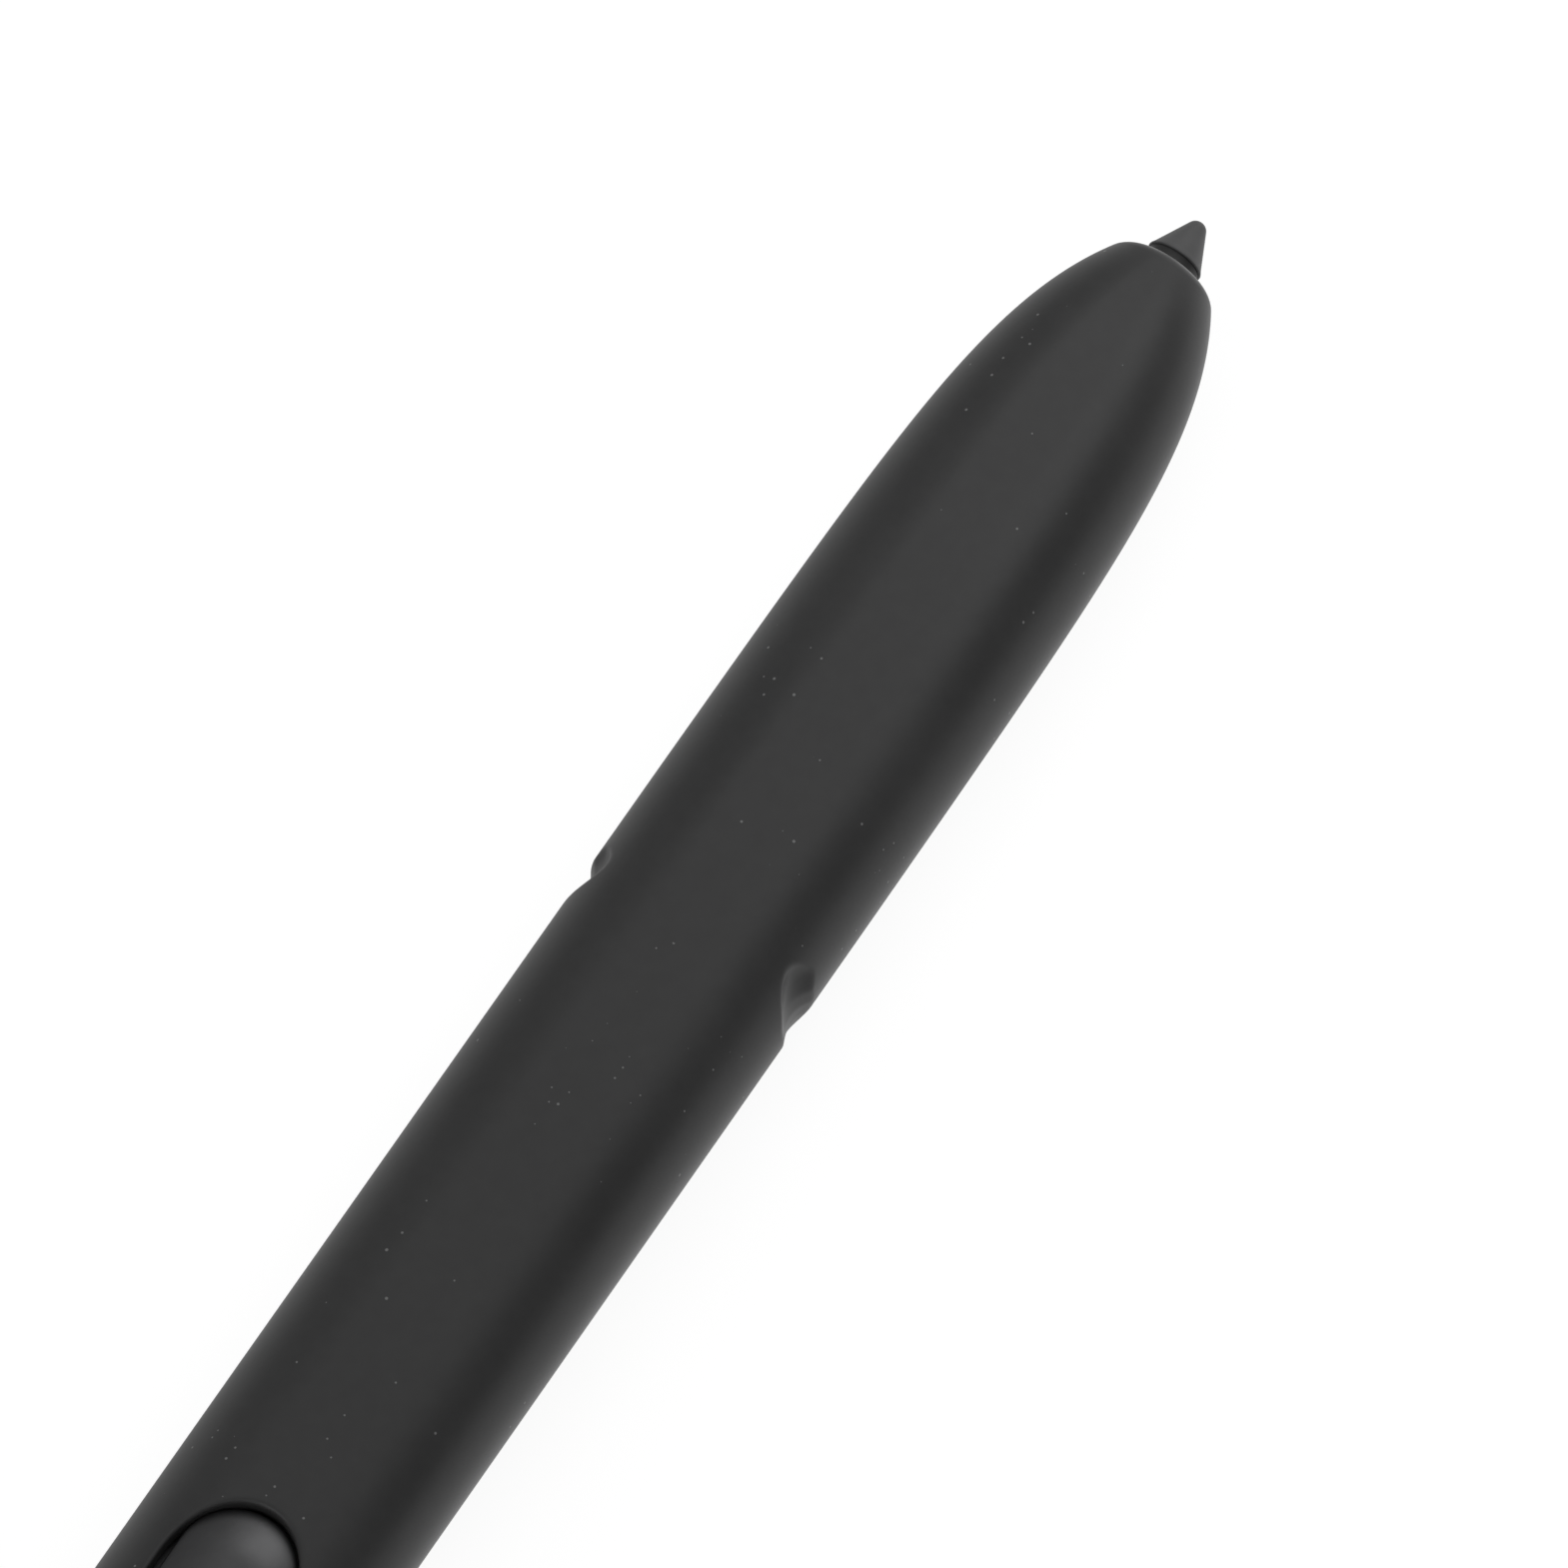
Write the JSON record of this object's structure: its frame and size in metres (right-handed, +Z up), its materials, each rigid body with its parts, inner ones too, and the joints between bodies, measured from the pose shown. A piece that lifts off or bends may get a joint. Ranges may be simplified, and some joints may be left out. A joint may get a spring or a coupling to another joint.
{
  "type": "stylus pen",
  "caption": "Slim oval stylus for a drawing tablet: tapered nose, pressure nib, side notches, crowned side button, and a click knob that lifts it out of its slot.",
  "frame": {"origin": "centre of the pen's box on the surface that it lies on, under the middle of its length", "axes": "+X along the pen to the nib, +Y to the left across it, +Z up through the side button"},
  "size_m": [0.105, 0.0058, 0.0045],
  "materials": {
    "shell_plastic": "fine matte, dark grey",
    "button_plastic": "satin dark grey",
    "nib_plastic": "matte, slightly rubbery dark grey",
    "knob_plastic": "satin dark grey",
    "collar_metal": "dark anodised, satin",
    "seal_rubber": "matte black",
    "slip_plastic": "ivory low-friction plastic",
    "case_plastic": "off-white moulded plastic",
    "chassis_plastic": "grey glass-filled plastic",
    "ferrite": "dark sintered ferrite",
    "ceramic": "pale sensor ceramic",
    "copper": "enamelled copper wire",
    "polyimide": "amber flexible film",
    "board_laminate": "green solder mask",
    "chip_epoxy": "black moulded epoxy",
    "plated_metal": "nickel-plated sheet",
    "contact_metal": "gold-flashed contact",
    "spring_steel": "bright spring steel",
    "cell_can": "drawn steel can",
    "foam": "open-cell foam"
  },
  "bodies": {
    "shell": {"barrel": "shell_plastic", "nib_seal": "seal_rubber", "core_cushion": "seal_rubber", "ferrite_core": "ferrite", "coil_winding": "copper", "coil_flex": "polyimide", "sensor_case": "case_plastic", "sensor_disc": "ceramic", "sensor_plug": "chassis_plastic", "sensor_leads": "contact_metal", "chassis": "chassis_plastic", "circuit_board": "board_laminate", "radio_chip": "chip_epoxy", "power_chip": "chip_epoxy", "crystal": "plated_metal", "chip_antenna": "ceramic", "board_capacitors": "ceramic", "button_frame": "chassis_plastic", "side_switch": "plated_metal", "switch_dome": "contact_metal", "cell": "cell_can", "cell_tabs": "plated_metal", "cell_pad": "foam", "click_guide": "chassis_plastic", "click_spring": "spring_steel", "latch_keeper": "spring_steel", "tail_gasket": "seal_rubber", "tail_collar": "collar_metal"},
    "nib": {"nib": "nib_plastic", "nib_holder": "slip_plastic", "nib_pad": "seal_rubber"},
    "button": {"side_button": "button_plastic", "switch_stem": "case_plastic"},
    "knob": {"click_knob": "knob_plastic", "click_slider": "slip_plastic"},
    "latch": {"latch_wire": "spring_steel"}
  },
  "joints": [
    {"name": "nib_press", "type": "slide", "parent": "shell", "child": "nib", "axis": [-1, 0, 0], "range_m": [0, 0.00025], "stiffness_N_per_m": 1500, "springref_m": -0.0001},
    {"name": "button_press", "type": "slide", "parent": "shell", "child": "button", "axis": [0, 0, -1], "range_m": [0, 0.00025], "stiffness_N_per_m": 3000, "springref_m": -0.00005},
    {"name": "knob_click", "type": "slide", "parent": "shell", "child": "knob", "axis": [1, 0, 0], "range_m": [0, 0.0016], "stiffness_N_per_m": 300, "springref_m": -0.0005, "deforming": ["click_spring"]},
    {"name": "latch_swing", "type": "hinge", "parent": "shell", "child": "latch", "pos_m": [-0.035, 0, 0.00217], "axis": [0, 0, -1], "range_deg": [0, 8]}
  ]
}
